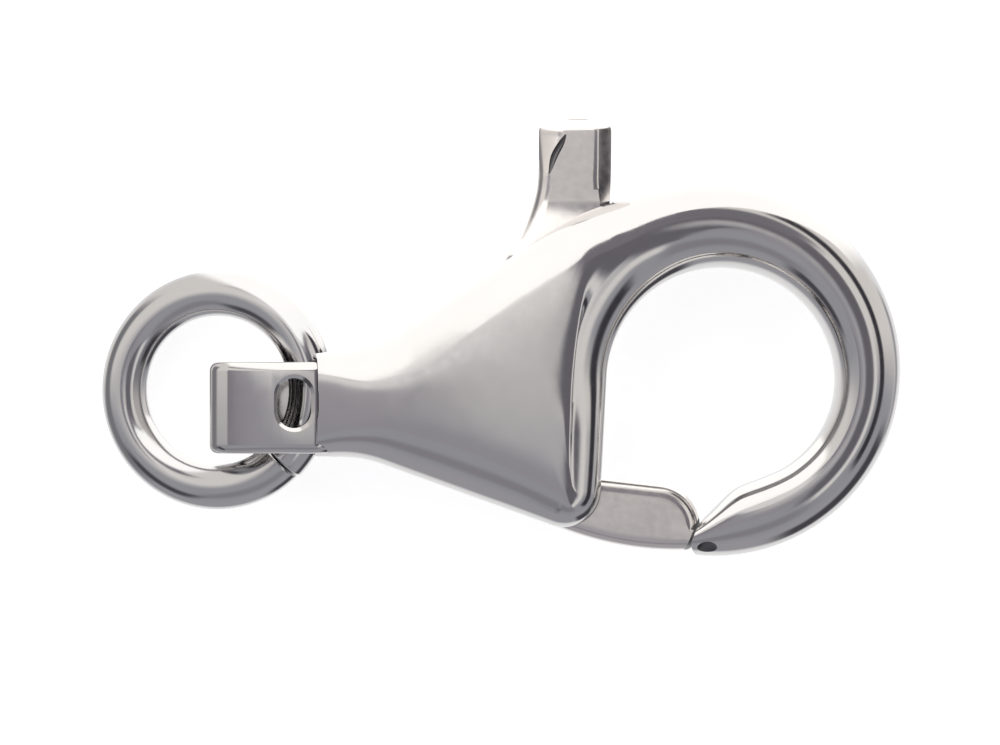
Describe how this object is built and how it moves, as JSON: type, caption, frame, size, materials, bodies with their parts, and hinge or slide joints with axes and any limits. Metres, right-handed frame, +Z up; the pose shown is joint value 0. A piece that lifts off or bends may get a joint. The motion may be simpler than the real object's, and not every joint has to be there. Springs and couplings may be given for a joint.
{
  "type": "lobster clasp",
  "caption": "Polished silver lobster clasp with a rounded hook, a thumb lever on a hidden pin and a wire jump ring in its tail loop.",
  "frame": {"origin": "on the axis of the lever's pin, in the flat underside that the clasp lies on", "axes": "+X along the clasp from the tail loop towards the hook, +Y across it towards the thumb tab, +Z up out of the surface, along the pin"},
  "size_m": [0.0174, 0.0095, 0.0034],
  "materials": {
    "polished_silver": "polished silver",
    "lever_silver": "polished silver, slightly duller on its flat sides",
    "pin_steel": "plain drawn wire, hidden",
    "ring_silver": "polished silver wire"
  },
  "bodies": {
    "clasp": {"body": "polished_silver", "pin": "pin_steel"},
    "lever_body": {"lever": "lever_silver"},
    "ring_body": {"jump_ring": "ring_silver"}
  },
  "joints": [
    {"name": "lever_pivot", "type": "hinge", "parent": "clasp", "child": "lever_body", "pos_m": [0, 0, 0.0017], "axis": [0, 0, 1], "range_deg": [0, 28], "stiffness_Nm_per_rad": 0.01},
    {"name": "ring_swing", "type": "hinge", "parent": "clasp", "child": "ring_body", "pos_m": [-0.00532, 0.00191, 0.00151], "axis": [0, 1, 0], "range_deg": [0, 60]}
  ]
}
